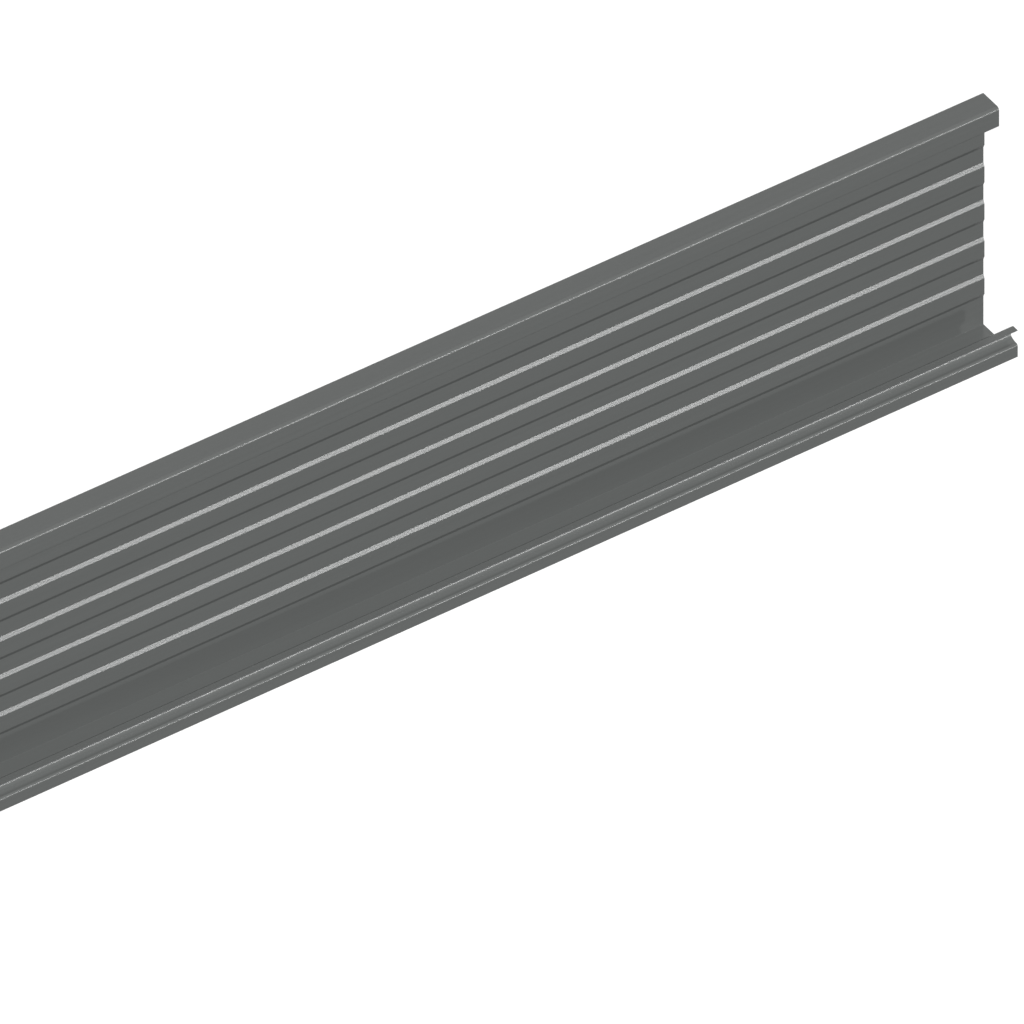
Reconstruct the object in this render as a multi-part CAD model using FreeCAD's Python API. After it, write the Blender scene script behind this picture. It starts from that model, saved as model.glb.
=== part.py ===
# Metal fascia board: one strip of coated steel, roll-formed into an eaves board with a ribbed web.
#
# The board lies on its outer face, as it would be laid down. X runs along its length, +Y points to the
# edge that is its top when it is fitted, and +Z points from the outer face towards the roof side.
# The origin is at the middle of the board's length and height, on the surface that it lies on.
#
# The sheet is followed from one slit edge to the other: the top lip, the top return, the web with its
# pressed ribs, the bottom return, the upstand, the ledge and ramp, the wall, and the hook lip. The ledge,
# ramp, wall and hook lip make the groove that holds the edge of the soffit lining.

import FreeCAD, Part
import math
import os

Vector = FreeCAD.Vector

# Driving sizes, in millimetres and degrees

# the sheet and the board as a whole
SHEET = 0.5               # thickness of the coated sheet
BOARD_LENGTH = 2400.0
BOARD_HEIGHT = 185.0      # over the outer faces of both returns
FOLD = 0.1                # inside radius of the tight folds: both of the web's, and the upstand's foot

# the top return, with its lip turned down on the roof side
TOP_RETURN = 17.3         # from the outer face to the lip's outer face
TOP_LIP = 14.6            # from the top of the board down to the lip's slit edge
LIP_BEND = 1.8            # inside radius between the lip and the return

# the ribs pressed along the web towards the roof side
RIB_COUNT = 5
RIB_PITCH = 29.7
RIB_WIDTH = 15.1          # between the middles of its two sloping sides
RIB_DEPTH = 1.15
RIB_SIDE = 2.87           # height that each sloping side takes up on the web
RIB_BEND = 0.5            # inside radius
LOWEST_RIB = 32.0         # from the underside of the board to the lowest rib's middle

# the bottom return and its upstand
BOTTOM_RETURN = 37.4      # from the outer face to the upstand's outer face
UPSTAND = 10.35           # from the underside of the board to the top of the ledge
UPSTAND_BEND = 1.2        # inside radius between the upstand and the ledge

# the soffit groove
LEDGE = 3.1               # flat part of the groove's floor, from the upstand's outer face
RAMP_SLOPE = 19.0         # degrees, from the ledge up to the wall
RAMP_BEND = 6.0           # inside radius where the ledge starts to rise
GROOVE_DEPTH = 7.6        # from the upstand's outer face in to the wall
GROOVE_MOUTH = 10.65      # clear height between the ledge and the hook lip
WALL_BEND = 3.0           # inside radius between the ramp and the wall
HOOK_SPLAY = 2.95         # size of the corner cut flat at 45 degrees between the wall and the hook lip
HOOK_BEND = 0.25          # inside radius at both ends of that cut corner
HOOK_SETBACK = 0.2        # how far the hook lip's slit edge stays behind the upstand's face


def section_point(height, depth):
    """A point of the cross-section, from its height on the fitted board and its depth behind the outer face."""
    return Vector(-BOARD_LENGTH / 2, height - BOARD_HEIGHT / 2, depth)


def rib_corners(middle, land, crest):
    """The four corners of one rib on the sheet's middle line, from the upper side to the lower."""
    outer = (RIB_WIDTH + RIB_SIDE) / 2
    inner = (RIB_WIDTH - RIB_SIDE) / 2
    return [
        section_point(middle + outer, land),
        section_point(middle + inner, crest),
        section_point(middle - inner, crest),
        section_point(middle - outer, land),
    ]


def top_edge_route():
    """The middle line of the top lip and top return, as (corner, inside radius) pairs."""
    lip = TOP_RETURN - SHEET / 2
    roof_side = BOARD_HEIGHT - SHEET / 2
    return [
        (section_point(BOARD_HEIGHT - TOP_LIP, lip), None),
        (section_point(roof_side, lip), LIP_BEND),
        (section_point(roof_side, SHEET / 2), FOLD),
    ]


def web_route():
    """The middle line of the ribbed web, from its top rib down to its lowest."""
    land = SHEET / 2
    route = []
    for rib in reversed(range(RIB_COUNT)):
        middle = LOWEST_RIB + rib * RIB_PITCH
        for corner in rib_corners(middle, land, land + RIB_DEPTH):
            route.append((corner, RIB_BEND))
    return route


def bottom_edge_route():
    """The middle line of the bottom return, the upstand and the soffit groove."""
    upstand = BOTTOM_RETURN - SHEET / 2
    ledge = UPSTAND - SHEET / 2
    wall = BOTTOM_RETURN - GROOVE_DEPTH - SHEET / 2
    ramp_start = BOTTOM_RETURN - LEDGE
    ramp_end = ledge + (ramp_start - wall) * math.tan(math.radians(RAMP_SLOPE))
    hook = UPSTAND + GROOVE_MOUTH + SHEET / 2
    return [
        (section_point(SHEET / 2, SHEET / 2), FOLD),
        (section_point(SHEET / 2, upstand), FOLD),
        (section_point(ledge, upstand), UPSTAND_BEND),
        (section_point(ledge, ramp_start), RAMP_BEND),
        (section_point(ramp_end, wall), WALL_BEND),
        (section_point(hook - HOOK_SPLAY, wall), HOOK_BEND),
        (section_point(hook, wall + HOOK_SPLAY), HOOK_BEND),
        (section_point(hook, BOTTOM_RETURN - HOOK_SETBACK), None),
    ]


def side_edges(route, side):
    """One face of the sheet along a route: straight runs joined by bends.

    side is +1 or -1, for the face to the left or right of the route. The bend on the inside of a corner
    has the corner's inside radius, and the bend on the outside is larger by the sheet's thickness.
    """
    along_board = Vector(1, 0, 0)
    edges = []
    corners = [corner for corner, radius in route]
    previous = None
    for index, (corner, radius) in enumerate(route):
        if index == 0:
            direction = (corners[1] - corner).normalize()
            previous = corner + along_board.cross(direction) * (side * SHEET / 2)
            continue
        arriving = (corner - corners[index - 1]).normalize()
        if radius is None:
            end = corner + along_board.cross(arriving) * (side * SHEET / 2)
            edges.append(Part.LineSegment(previous, end).toShape())
            break
        leaving = (corners[index + 1] - corner).normalize()
        turn = arriving.getAngle(leaving)
        left_turn = 1 if arriving.cross(leaving).dot(along_board) > 0 else -1
        middle_radius = radius + SHEET / 2
        to_centre = (leaving - arriving).normalize()
        centre = corner + to_centre * (middle_radius / math.cos(turn / 2))
        this_radius = middle_radius - side * left_turn * SHEET / 2
        start = centre - along_board.cross(arriving) * (left_turn * this_radius)
        middle = centre - to_centre * this_radius
        end = centre - along_board.cross(leaving) * (left_turn * this_radius)
        edges.append(Part.LineSegment(previous, start).toShape())
        edges.append(Part.Arc(start, middle, end).toShape())
        previous = end
    return edges


def first_point(edges):
    """The point where a chain of edges starts."""
    return edges[0].valueAt(edges[0].FirstParameter)


def last_point(edges):
    """The point where a chain of edges ends."""
    return edges[-1].valueAt(edges[-1].LastParameter)


def board_section():
    """The sheet's cross-section, as a face between its two sides and its two slit edges."""
    route = top_edge_route() + web_route() + bottom_edge_route()
    left = side_edges(route, +1)
    right = side_edges(route, -1)
    top_slit = Part.LineSegment(first_point(right), first_point(left)).toShape()
    hook_slit = Part.LineSegment(last_point(left), last_point(right)).toShape()
    outline = Part.Wire(Part.__sortEdges__(left + right + [top_slit, hook_slit]))
    return Part.Face(outline)


def fascia_board():
    """The whole board: its section run along its length."""
    return board_section().extrude(Vector(BOARD_LENGTH, 0, 0))


os.makedirs("parts", exist_ok=True)
board = fascia_board()
board.exportStep("parts/fascia_board.step")
box = board.BoundBox
print("fascia_board", "valid", board.isValid(), "volume", round(board.Volume), "mm3")
print("box", [round(v, 3) for v in (box.XMin, box.YMin, box.ZMin, box.XMax, box.YMax, box.ZMax)])
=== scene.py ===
"""Looks of the metal fascia board: one roll-formed strip of coated steel, lying on its outer face.

Lengths are in metres. X runs along the board, +Y points to the edge that is its top when it is fitted,
and +Z points from the outer face towards the roof side.
"""

import logging
import math
from dataclasses import dataclass, field
from enum import Enum

import bpy
from mathutils import Matrix, Vector


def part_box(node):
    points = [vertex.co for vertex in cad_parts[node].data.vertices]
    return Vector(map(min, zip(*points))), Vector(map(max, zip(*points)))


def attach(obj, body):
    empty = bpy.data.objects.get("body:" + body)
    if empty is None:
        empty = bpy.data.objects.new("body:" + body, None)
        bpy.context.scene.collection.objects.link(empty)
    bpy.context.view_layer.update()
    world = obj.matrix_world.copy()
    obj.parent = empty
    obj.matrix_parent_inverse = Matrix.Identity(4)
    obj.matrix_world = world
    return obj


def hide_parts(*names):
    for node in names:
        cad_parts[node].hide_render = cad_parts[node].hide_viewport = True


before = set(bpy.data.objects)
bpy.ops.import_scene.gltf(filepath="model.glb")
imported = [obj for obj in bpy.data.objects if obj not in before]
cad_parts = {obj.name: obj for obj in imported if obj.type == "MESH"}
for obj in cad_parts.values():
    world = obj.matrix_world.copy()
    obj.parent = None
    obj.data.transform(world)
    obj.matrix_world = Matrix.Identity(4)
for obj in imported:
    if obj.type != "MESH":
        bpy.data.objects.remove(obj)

Colour = tuple[float, float, float]
Rgba = tuple[float, float, float, float]

LOG = logging.getLogger("fascia_board")
MM = 0.001
ALONG_BOARD = (1.0, 0.0, 0.0)
BOARD_NODE = "fascia_board"
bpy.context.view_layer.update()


class Slot(Enum):
    """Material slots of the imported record."""

    COATED_STEEL = "coated_steel"


class Domain(Enum):
    """Mesh domains that an attribute or a node can work on."""

    POINT = "POINT"
    EDGE = "EDGE"
    FACE = "FACE"


class Bench:
    """Adds nodes to one tree and links their sockets."""

    def __init__(self, tree: bpy.types.NodeTree) -> None:
        """Keep the tree that the nodes are added to."""
        self.tree = tree

    def add(self, kind: str, inputs: dict | None = None, **settings: object) -> bpy.types.Node:
        """Add one node.

        Args:
            kind: Blender's name of the node's type.
            inputs: values, or sockets of other nodes, by the name or place of the input that takes them.
            settings: properties of the node itself.

        Returns:
            The new node.
        """
        node = self.tree.nodes.new(kind)
        for name, value in settings.items():
            setattr(node, name, value)
        self.fill(node, inputs or {})
        return node

    def fill(self, node: bpy.types.Node, inputs: dict) -> None:
        """Set or link the inputs of a node.

        Args:
            node: the node that takes them.
            inputs: values, or sockets of other nodes, by the name or place of the input that takes them.
        """
        for name, value in inputs.items():
            socket = node.inputs[name]
            if isinstance(value, bpy.types.NodeSocket):
                self.tree.links.new(value, socket)
            else:
                socket.default_value = value


def grey(level: float) -> Rgba:
    """An opaque neutral colour."""
    return (level, level, level, 1.0)


def tone_range(colour: Colour, change: float) -> tuple[Rgba, Rgba]:
    """The darkest and the lightest tone of a finish.

    Args:
        colour: the finish's middle tone.
        change: the share by which it may be darker or lighter.

    Returns:
        The darker and the lighter colour, both opaque.
    """
    darker = tuple(c * (1 - change) for c in colour)
    lighter = tuple(c * (1 + change) for c in colour)
    return (*darker, 1.0), (*lighter, 1.0)


def start_material(name: str) -> tuple[bpy.types.Material, Bench, bpy.types.Node]:
    """Start a material with nodes.

    Args:
        name: the finish's name.

    Returns:
        The material, a bench for its nodes, and its shader.
    """
    material = bpy.data.materials.new(name)
    material.use_nodes = True
    return material, Bench(material.node_tree), material.node_tree.nodes["Principled BSDF"]


@dataclass(frozen=True)
class ColourCoat:
    """Satin grey colour coat on steel sheet: faint rolling streaks and a very fine orange peel.

    The rolling draws the coat out along the board, so its sheen spreads more across the board than along it.
    """

    name: str = "grey_colour_coat"
    colour: Colour = (0.119, 0.1245, 0.122)
    tone_change: float = 0.05
    roughness: float = 0.19
    specular_level: float = 0.22
    sheen_stretch: float = 1.0
    sheen_turn: float = 0.25
    streak_length: float = 400 * MM
    streak_width: float = 3 * MM
    streak_detail: float = 3.0
    streak_breakup: float = 0.6
    streak_gloss: float = 0.01
    peel_size: float = 0.9 * MM
    peel_detail: float = 1.0
    peel_height: float = 0.0006 * MM

    def streaks(self, bench: Bench, place: bpy.types.NodeSocket) -> bpy.types.NodeSocket:
        """Long faint streaks along the board.

        Args:
            bench: the material's bench.
            place: object coordinates.

        Returns:
            A socket that runs from 0 to 1 over the streaks.
        """
        across = 1 / self.streak_width
        stretched = bench.add(
            "ShaderNodeMapping", {"Vector": place, "Scale": (1 / self.streak_length, across, across)}
        )
        noise = bench.add(
            "ShaderNodeTexNoise",
            {
                "Vector": stretched.outputs["Vector"],
                "Scale": 1.0,
                "Detail": self.streak_detail,
                "Roughness": self.streak_breakup,
            },
        )
        return noise.outputs["Fac"]

    def relief(self, bench: Bench, place: bpy.types.NodeSocket) -> bpy.types.NodeSocket:
        """The coat's orange peel.

        Args:
            bench: the material's bench.
            place: object coordinates.

        Returns:
            The normal socket.
        """
        peel = bench.add(
            "ShaderNodeTexNoise",
            {"Vector": place, "Scale": 1 / self.peel_size, "Detail": self.peel_detail},
        )
        bump = bench.add(
            "ShaderNodeBump", {"Height": peel.outputs["Fac"], "Distance": self.peel_height, "Strength": 1.0}
        )
        return bump.outputs["Normal"]

    def material(self) -> bpy.types.Material:
        """Make the coat's material from object coordinates.

        Returns:
            The finished material.
        """
        material, bench, shader = start_material(self.name)
        place = bench.add("ShaderNodeTexCoord").outputs["Object"]
        streaks = self.streaks(bench, place)
        darker, lighter = tone_range(self.colour, self.tone_change)
        tone = bench.add(
            "ShaderNodeMix", {"Factor": streaks, "A": darker, "B": lighter}, data_type="RGBA"
        )
        gloss = bench.add(
            "ShaderNodeMapRange",
            {
                "Value": streaks,
                "To Min": self.roughness - self.streak_gloss,
                "To Max": self.roughness + self.streak_gloss,
            },
        )
        rolling = bench.add(
            "ShaderNodeVectorTransform",
            {"Vector": ALONG_BOARD},
            vector_type="VECTOR",
            convert_from="OBJECT",
            convert_to="WORLD",
        )
        bench.fill(
            shader,
            {
                "Base Color": tone.outputs["Result"],
                "Roughness": gloss.outputs["Result"],
                "Normal": self.relief(bench, place),
                "Tangent": rolling.outputs["Vector"],
                "Specular IOR Level": self.specular_level,
                "Anisotropic": self.sheen_stretch,
                "Anisotropic Rotation": self.sheen_turn,
            },
        )
        return material


@dataclass(frozen=True)
class CutSteel:
    """Bare sheared edge of zinc-coated sheet: dull grey metal with fine shear marks."""

    name: str = "sheared_zinc_steel"
    colour: Colour = (0.25, 0.255, 0.26)
    tone_change: float = 0.25
    roughness: float = 0.45
    metal: float = 0.6
    mark_size: float = 0.15 * MM
    mark_detail: float = 2.0
    mark_height: float = 0.004 * MM

    def material(self) -> bpy.types.Material:
        """Make the sheared edge's material from object coordinates.

        Returns:
            The finished material.
        """
        material, bench, shader = start_material(self.name)
        place = bench.add("ShaderNodeTexCoord").outputs["Object"]
        marks = bench.add(
            "ShaderNodeTexNoise",
            {"Vector": place, "Scale": 1 / self.mark_size, "Detail": self.mark_detail},
        ).outputs["Fac"]
        darker, lighter = tone_range(self.colour, self.tone_change)
        tone = bench.add("ShaderNodeMix", {"Factor": marks, "A": darker, "B": lighter}, data_type="RGBA")
        relief = bench.add(
            "ShaderNodeBump", {"Height": marks, "Distance": self.mark_height, "Strength": 1.0}
        )
        bench.fill(
            shader,
            {
                "Base Color": tone.outputs["Result"],
                "Roughness": self.roughness,
                "Metallic": self.metal,
                "Normal": relief.outputs["Normal"],
            },
        )
        return material


@dataclass(frozen=True)
class Corner:
    """One corner of the sheet's middle line: its place in the section and the bend there."""

    height: float
    depth: float
    bend: float = 0.0


@dataclass(frozen=True)
class RoutePoint:
    """One point of the middle line in the frame, with its bend radius and the steps round the bend."""

    place: Vector
    bend: float = 0.0
    steps: int = 1


@dataclass(frozen=True)
class TopEdge:
    """The top return and the lip turned down from it on the roof side."""

    board_height: float
    sheet: float
    fold: float
    depth: float = 17.3 * MM
    lip: float = 14.6 * MM
    bend: float = 1.8 * MM

    def corners(self) -> list[Corner]:
        """Follow the sheet from the lip's slit edge to the web.

        Returns:
            The corners in order.
        """
        half = self.sheet / 2
        return [
            Corner(self.board_height - self.lip, self.depth - half),
            Corner(self.board_height - half, self.depth - half, self.bend + half),
            Corner(self.board_height - half, half, self.fold + half),
        ]


@dataclass(frozen=True)
class RibbedWeb:
    """The web with its pressed ribs, which stand towards the roof side."""

    sheet: float
    count: int = 5
    pitch: float = 29.7 * MM
    width: float = 15.1 * MM
    height: float = 1.15 * MM
    side: float = 2.87 * MM
    bend: float = 0.5 * MM
    lowest: float = 32.0 * MM

    def corners(self) -> list[Corner]:
        """Follow the sheet from the top rib down to the lowest.

        Returns:
            Four corners for each rib, in order.
        """
        land = self.sheet / 2
        crest = land + self.height
        bend = self.bend + land
        outer = (self.width + self.side) / 2
        inner = (self.width - self.side) / 2
        found = []
        for rib in reversed(range(self.count)):
            middle = self.lowest + rib * self.pitch
            found += [
                Corner(middle + outer, land, bend),
                Corner(middle + inner, crest, bend),
                Corner(middle - inner, crest, bend),
                Corner(middle - outer, land, bend),
            ]
        return found


@dataclass(frozen=True)
class BottomEdge:
    """The bottom return, its upstand, and the groove that takes the soffit lining."""

    depth: float
    sheet: float
    fold: float
    upstand: float = 10.35 * MM
    upstand_bend: float = 1.2 * MM
    ledge: float = 3.1 * MM
    ramp_slope: float = math.radians(19.0)
    ramp_bend: float = 6.0 * MM
    groove_depth: float = 7.6 * MM
    groove_mouth: float = 10.65 * MM
    wall_bend: float = 3.0 * MM
    hook_splay: float = 2.95 * MM
    hook_bend: float = 0.25 * MM
    hook_setback: float = 0.2 * MM

    def corners(self) -> list[Corner]:
        """Follow the sheet from the web to the hook lip's slit edge.

        Returns:
            The corners in order.
        """
        half = self.sheet / 2
        face = self.depth - half
        ledge = self.upstand - half
        wall = self.depth - self.groove_depth - half
        ramp_start = self.depth - self.ledge
        ramp_end = ledge + (ramp_start - wall) * math.tan(self.ramp_slope)
        hook = self.upstand + self.groove_mouth + half
        return [
            Corner(half, half, self.fold + half),
            Corner(half, face, self.fold + half),
            Corner(ledge, face, self.upstand_bend + half),
            Corner(ledge, ramp_start, self.ramp_bend + half),
            Corner(ramp_end, wall, self.wall_bend + half),
            Corner(hook - self.hook_splay, wall, self.hook_bend + half),
            Corner(hook, wall + self.hook_splay, self.hook_bend + half),
            Corner(hook, self.depth - self.hook_setback),
        ]


@dataclass
class FasciaBoard:
    """The whole board: the sheet's section, swept by Geometry Nodes to the board's length.

    A fold sharper than sharp_angle keeps a crisp edge. A face is a cut end if its normal points along the
    board by more than end_lean.
    """

    length: float
    height: float
    depth: float
    name: str = "fascia_board_sheet"
    sheet: float = 0.5 * MM
    fold: float = 0.1 * MM
    bend_step: float = math.radians(6.0)
    fewest_steps: int = 2
    shading_strip: float = 0.04 * MM
    sharp_angle: float = math.radians(55.0)
    end_lean: float = 0.5
    coat: ColourCoat = field(default_factory=ColourCoat)
    cut: CutSteel = field(default_factory=CutSteel)

    def section_corners(self) -> list[Corner]:
        """Follow the whole sheet, from the top lip's slit edge to the hook lip's.

        Returns:
            Every corner of the middle line, in order.
        """
        return [
            *TopEdge(self.height, self.sheet, self.fold).corners(),
            *RibbedWeb(self.sheet).corners(),
            *BottomEdge(self.depth, self.sheet, self.fold).corners(),
        ]

    def section_point(self, corner: Corner) -> Vector:
        """A corner's place in the frame, in the plane across the middle of the board."""
        return Vector((0.0, corner.height - self.height / 2, corner.depth))

    def route(self) -> list[RoutePoint]:
        """Place the middle line's points, with a point close to both ends of each bend.

        The two extra points keep a narrow strip beside the bend, so that smooth shading stays off the flats.

        Returns:
            The points in order.
        """
        corners = self.section_corners()
        points = [self.section_point(corner) for corner in corners]
        route = [RoutePoint(points[0])]
        for index in range(1, len(corners) - 1):
            here = points[index]
            back = (points[index - 1] - here).normalized()
            ahead = (points[index + 1] - here).normalized()
            turn = math.pi - back.angle(ahead)
            reach = corners[index].bend * math.tan(turn / 2) + self.shading_strip
            steps = max(self.fewest_steps, math.ceil(turn / self.bend_step))
            route.append(RoutePoint(here + back * reach))
            route.append(RoutePoint(here, corners[index].bend, steps))
            route.append(RoutePoint(here + ahead * reach))
        route.append(RoutePoint(points[-1]))
        return route

    def section_mesh(self) -> bpy.types.Mesh:
        """Make the middle line as a chain of edges, with the bend sizes stored on its points.

        Returns:
            The chain's mesh.
        """
        route = self.route()
        mesh = bpy.data.meshes.new("sheet_section")
        mesh.from_pydata([point.place for point in route], [(i, i + 1) for i in range(len(route) - 1)], [])
        radii = mesh.attributes.new("bend_radius", "FLOAT", Domain.POINT.value)
        radii.data.foreach_set("value", [point.bend for point in route])
        steps = mesh.attributes.new("bend_steps", "INT", Domain.POINT.value)
        steps.data.foreach_set("value", [point.steps for point in route])
        return mesh

    @staticmethod
    def name_sockets(tree: bpy.types.GeometryNodeTree) -> None:
        """Give a tree its named inputs and its output.

        Args:
            tree: the empty tree.
        """
        for name, kind in (
            ("Section", "NodeSocketGeometry"),
            ("Board Length", "NodeSocketFloat"),
            ("Sheet Thickness", "NodeSocketFloat"),
            ("Sharp Angle", "NodeSocketFloat"),
            ("Coat", "NodeSocketMaterial"),
            ("Cut Metal", "NodeSocketMaterial"),
        ):
            tree.interface.new_socket(name, in_out="INPUT", socket_type=kind)
        tree.interface.new_socket("Sheet", in_out="OUTPUT", socket_type="NodeSocketGeometry")

    @staticmethod
    def bent_line(bench: Bench, section: bpy.types.NodeSocket) -> bpy.types.NodeSocket:
        """Round the middle line's corners and mark its two ends.

        Args:
            bench: the tree's bench.
            section: the chain of edges.

        Returns:
            The bent curve.
        """
        radius = bench.add("GeometryNodeInputNamedAttribute", {"Name": "bend_radius"}, data_type="FLOAT")
        steps = bench.add("GeometryNodeInputNamedAttribute", {"Name": "bend_steps"}, data_type="INT")
        line = bench.add("GeometryNodeMeshToCurve", {"Mesh": section})
        bent = bench.add(
            "GeometryNodeFilletCurve",
            {"Curve": line.outputs["Curve"], "Radius": radius.outputs[0], "Count": steps.outputs[0]},
            mode="POLY",
        )
        turned = bench.add(
            "GeometryNodeSetCurveNormal",
            {"Curve": bent.outputs["Curve"], "Normal": ALONG_BOARD},
            mode="FREE",
        )
        ends = bench.add("GeometryNodeCurveEndpointSelection", {"Start Size": 1, "End Size": 1})
        marked = bench.add(
            "GeometryNodeStoreNamedAttribute",
            {"Geometry": turned.outputs["Curve"], "Name": "slit_edge", "Value": ends.outputs["Selection"]},
            data_type="BOOLEAN",
            domain=Domain.POINT.value,
        )
        return marked.outputs["Geometry"]

    @staticmethod
    def crisp_folds(
        bench: Bench, sheet: bpy.types.NodeSocket, sharp: bpy.types.NodeSocket
    ) -> bpy.types.NodeSocket:
        """Shade the sheet smooth, apart from its sharp edges.

        Args:
            bench: the tree's bench.
            sheet: the swept mesh.
            sharp: the angle from which an edge stays sharp.

        Returns:
            The shaded mesh.
        """
        smooth = bench.add(
            "GeometryNodeSetShadeSmooth", {"Geometry": sheet, "Shade Smooth": True}, domain=Domain.FACE.value
        )
        angle = bench.add("GeometryNodeInputMeshEdgeAngle")
        folded = bench.add(
            "FunctionNodeCompare",
            {0: angle.outputs["Unsigned Angle"], 1: sharp},
            data_type="FLOAT",
            operation="GREATER_THAN",
        )
        crisp = bench.add(
            "GeometryNodeSetShadeSmooth",
            {
                "Geometry": smooth.outputs["Geometry"],
                "Selection": folded.outputs["Result"],
                "Shade Smooth": False,
            },
            domain=Domain.EDGE.value,
        )
        return crisp.outputs["Geometry"]

    def cut_faces(self, bench: Bench) -> bpy.types.NodeSocket:
        """Find the faces where the sheet is cut: both slit edges and both ends of the board.

        Args:
            bench: the tree's bench.

        Returns:
            A socket that is true on those faces.
        """
        slit = bench.add("GeometryNodeInputNamedAttribute", {"Name": "slit_edge"}, data_type="BOOLEAN")
        facing = bench.add("GeometryNodeInputNormal")
        parts = bench.add("ShaderNodeSeparateXYZ", {"Vector": facing.outputs["Normal"]})
        along = bench.add("ShaderNodeMath", {0: parts.outputs["X"]}, operation="ABSOLUTE")
        end_face = bench.add(
            "FunctionNodeCompare",
            {0: along.outputs["Value"], 1: self.end_lean},
            data_type="FLOAT",
            operation="GREATER_THAN",
        )
        bare = bench.add(
            "FunctionNodeBooleanMath", {0: slit.outputs[0], 1: end_face.outputs["Result"]}, operation="OR"
        )
        return bare.outputs["Boolean"]

    def sweep_tree(self) -> bpy.types.GeometryNodeTree:
        """Make the nodes that bend the middle line and sweep the sheet's thickness and length along it.

        Returns:
            The tree, with the board's sizes and finishes as named inputs.
        """
        tree = bpy.data.node_groups.new("roll_formed_sheet", "GeometryNodeTree")
        self.name_sockets(tree)
        bench = Bench(tree)
        given = bench.add("NodeGroupInput").outputs
        across = bench.add(
            "GeometryNodeCurvePrimitiveQuadrilateral",
            {"Width": given["Board Length"], "Height": given["Sheet Thickness"]},
            mode="RECTANGLE",
        )
        swept = bench.add(
            "GeometryNodeCurveToMesh",
            {
                "Curve": self.bent_line(bench, given["Section"]),
                "Profile Curve": across.outputs["Curve"],
                "Fill Caps": True,
            },
        )
        shaded = self.crisp_folds(bench, swept.outputs["Mesh"], given["Sharp Angle"])
        plain = bench.add("GeometryNodeRealizeInstances", {"Geometry": shaded})
        coated = bench.add(
            "GeometryNodeSetMaterial", {"Geometry": plain.outputs["Geometry"], "Material": given["Coat"]}
        )
        dressed = bench.add(
            "GeometryNodeSetMaterial",
            {
                "Geometry": coated.outputs["Geometry"],
                "Selection": self.cut_faces(bench),
                "Material": given["Cut Metal"],
            },
        )
        bench.add("NodeGroupOutput", {"Sheet": dressed.outputs["Geometry"]})
        return tree

    def build(self) -> bpy.types.Object:
        """Sweep the sheet and turn it into a plain mesh.

        Returns:
            The finished board.
        """
        section = bpy.data.objects.new("sheet_section", self.section_mesh())
        bpy.context.scene.collection.objects.link(section)
        tree = self.sweep_tree()
        values = {
            "Board Length": self.length,
            "Sheet Thickness": self.sheet,
            "Sharp Angle": self.sharp_angle,
            "Coat": self.coat.material(),
            "Cut Metal": self.cut.material(),
        }
        sweep = section.modifiers.new("sweep", "NODES")
        sweep.node_group = tree
        for item in tree.interface.items_tree:
            if item.in_out == "INPUT" and item.name in values:
                sweep[item.identifier] = values[item.name]
        evaluated = section.evaluated_get(bpy.context.evaluated_depsgraph_get())
        mesh = bpy.data.meshes.new_from_object(evaluated)
        section.modifiers.remove(sweep)
        bpy.data.objects.remove(section)
        mesh.name = self.name
        board = bpy.data.objects.new(self.name, mesh)
        bpy.context.scene.collection.objects.link(board)
        return board

    def dress(self, board: bpy.types.Object) -> None:
        """Fix the finished board to the frame in place of its CAD node.

        Args:
            board: the board, as build makes it.
        """
        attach(board, "root")
        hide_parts(BOARD_NODE)


@dataclass(frozen=True)
class SoftLamp:
    """A distant lamp with a wide disc. Its spread is the disc's width, in degrees."""

    name: str
    towards: tuple[float, float, float]
    strength: float
    spread: float

    def place(self) -> None:
        """Add the lamp, shining from the side that it is named towards."""
        lamp = bpy.data.lights.new(self.name, "SUN")
        lamp.energy = self.strength
        lamp.angle = math.radians(self.spread)
        holder = bpy.data.objects.new(self.name, lamp)
        holder.rotation_euler = Vector(self.towards).to_track_quat("Z", "Y").to_euler()
        bpy.context.scene.collection.objects.link(holder)


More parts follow.
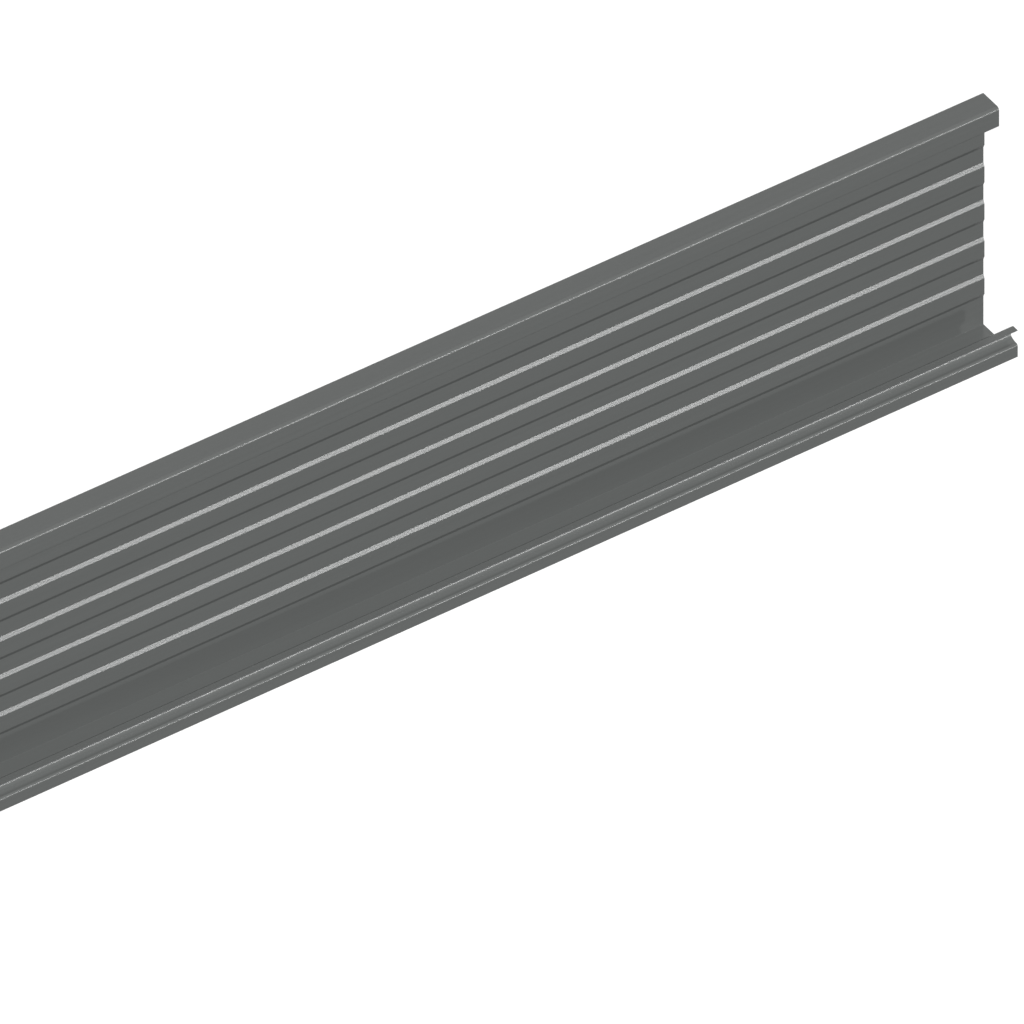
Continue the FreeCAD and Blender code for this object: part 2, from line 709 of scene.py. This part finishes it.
@dataclass
class Studio:
    """White floor, plain lamps, and an even surround with a white backdrop low down.

    The backdrop is white up to the angle backdrop_full above the floor, and fades out up to backdrop_top.
    """

    floor_half_size: float = 250.0
    floor_gap: float = 0.1 * MM
    floor_white: float = 0.85
    floor_glow: float = 0.2
    floor_bounce: float = 0.06
    surround: float = 0.05
    backdrop_full: float = math.radians(1.0)
    backdrop_top: float = math.radians(2.5)
    lamps: tuple[SoftLamp, ...] = (
        SoftLamp("key", towards=(-0.4217, 0.6520, 0.6302), strength=4.3, spread=1.0),
        SoftLamp("rib_light", towards=(0.4217, 0.0475, 0.9055), strength=0.41, spread=3.2),
        SoftLamp("side_fill", towards=(-0.25, -0.96, 0.035), strength=1.7, spread=3.0),
        SoftLamp("inner_fill", towards=(-0.2, -0.95, 0.24), strength=0.45, spread=8.0),
    )

    @staticmethod
    def seen_directly(bench: Bench) -> bpy.types.NodeSocket:
        """Tell rays that show the studio from rays that only carry its light.

        Args:
            bench: the bench of the floor's or the world's nodes.

        Returns:
            A socket that is 1 for camera, glossy and transmission rays, and 0 for the others.
        """
        path = bench.add("ShaderNodeLightPath").outputs
        seen = bench.add(
            "ShaderNodeMath", {0: path["Is Camera Ray"], 1: path["Is Glossy Ray"]}, operation="MAXIMUM"
        )
        shown = bench.add(
            "ShaderNodeMath", {0: seen.outputs["Value"], 1: path["Is Transmission Ray"]}, operation="MAXIMUM"
        )
        return shown.outputs["Value"]

    def floor_material(self) -> bpy.types.Material:
        """Make a floor that is white to the eye and to reflections, and darker as a source of light.

        Returns:
            The finished material.
        """
        material = bpy.data.materials.new("white_floor")
        material.use_nodes = True
        material.node_tree.nodes.clear()
        bench = Bench(material.node_tree)
        bounce = bench.add("ShaderNodeBsdfDiffuse", {"Color": grey(self.floor_bounce)})
        paint = bench.add("ShaderNodeBsdfDiffuse", {"Color": grey(self.floor_white)})
        glow = bench.add("ShaderNodeEmission", {"Strength": self.floor_glow})
        white = bench.add("ShaderNodeAddShader", {0: paint.outputs["BSDF"], 1: glow.outputs["Emission"]})
        mixed = bench.add(
            "ShaderNodeMixShader",
            {0: self.seen_directly(bench), 1: bounce.outputs["BSDF"], 2: white.outputs["Shader"]},
        )
        bench.add("ShaderNodeOutputMaterial", {"Surface": mixed.outputs["Shader"]})
        return material

    def place_floor(self) -> None:
        """Lay the floor just under the board."""
        half = self.floor_half_size
        outline = ((-half, -half), (half, -half), (half, half), (-half, half))
        mesh = bpy.data.meshes.new("floor")
        mesh.from_pydata([(x, y, -self.floor_gap) for x, y in outline], [], [(0, 1, 2, 3)])
        mesh.materials.append(self.floor_material())
        floor = bpy.data.objects.new("floor", mesh)
        bpy.context.scene.collection.objects.link(floor)

    def place_surround(self) -> None:
        """Give the world an even weak light, and a white backdrop for the eye and for reflections."""
        world = bpy.data.worlds.new("surround")
        world.use_nodes = True
        bench = Bench(world.node_tree)
        way = bench.add("ShaderNodeTexCoord").outputs["Generated"]
        rise = bench.add("ShaderNodeSeparateXYZ", {"Vector": way}).outputs["Z"]
        backdrop = bench.add(
            "ShaderNodeMapRange",
            {
                "Value": rise,
                "From Min": math.sin(self.backdrop_full),
                "From Max": math.sin(self.backdrop_top),
                "To Min": 1.0,
                "To Max": self.surround,
            },
        )
        strength = bench.add(
            "ShaderNodeMix",
            {"Factor": self.seen_directly(bench), "A": self.surround, "B": backdrop.outputs["Result"]},
            data_type="FLOAT",
        )
        background = world.node_tree.nodes["Background"]
        bench.fill(background, {"Color": grey(1.0), "Strength": strength.outputs["Result"]})
        bpy.context.scene.world = world

    def build(self) -> None:
        """Set up the floor, the surround and the lamps."""
        self.place_floor()
        self.place_surround()
        for lamp in self.lamps:
            lamp.place()
        bpy.context.scene.view_settings.view_transform = "Standard"


@dataclass
class PhotoCamera:
    """A long-lens camera that sees the board at the photograph's angle.

    The angles are those of the board as fitted, with its top edge up. The board lies on its outer face, so
    the camera is turned down with it by a quarter turn about the board's length. The clip shares are those
    of the camera's distance.
    """

    azimuth: float = math.radians(-33.79)
    elevation: float = math.radians(40.69)
    roll: float = math.radians(-0.48)
    image_size: int = 1024
    pixels_per_metre: float = 1646.6
    corner_pixel: tuple[float, float] = (983.0, 92.55)
    lens: float = 1700.0
    sensor: float = 36.0
    near_clip_share: float = 0.5
    far_clip_share: float = 4.0

    def turned(self) -> Matrix:
        """Turn the camera from the fitted board's angles to the lying board.

        Returns:
            The camera's axes in the frame, as a matrix of right, up and back.
        """
        tip = math.pi / 2 - self.elevation
        upright = Matrix.Rotation(self.azimuth, 3, "Z") @ Matrix.Rotation(tip, 3, "X")
        laid_down = Matrix.Rotation(-math.pi / 2, 3, "X")
        return laid_down @ upright @ Matrix.Rotation(self.roll, 3, "Z")

    def place(self, corner: Vector) -> None:
        """Add the camera so that one corner of the board falls on its pixel.

        Args:
            corner: the board's top corner on its outer face, at the end that the photograph shows.
        """
        axes = self.turned()
        right, up, back = axes.col
        pixel = 1 / self.pixels_per_metre
        across = (self.corner_pixel[0] - self.image_size / 2) * pixel
        above = (self.image_size / 2 - self.corner_pixel[1]) * pixel
        centre = corner - right * across - up * above
        distance = self.image_size * pixel * self.lens / self.sensor
        data = bpy.data.cameras.new("photo_camera")
        data.lens = self.lens
        data.sensor_width = self.sensor
        data.clip_start = distance * self.near_clip_share
        data.clip_end = distance * self.far_clip_share
        camera = bpy.data.objects.new("photo_camera", data)
        camera.matrix_world = Matrix.Translation(centre + back * distance) @ axes.to_4x4()
        bpy.context.scene.collection.objects.link(camera)
        bpy.context.scene.camera = camera


def main() -> None:
    """Build the camera, the studio and the board."""
    logging.basicConfig(level=logging.INFO, format="%(name)s: %(message)s")
    low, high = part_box(BOARD_NODE)
    PhotoCamera().place(Vector((high.x, high.y, low.z)))
    Studio().build()
    maker = FasciaBoard(length=high.x - low.x, height=high.y - low.y, depth=high.z - low.z)
    board = maker.build()
    maker.dress(board)
    LOG.info("%s: %d faces", board.name, len(board.data.polygons))


if __name__ == "__main__":
    main()
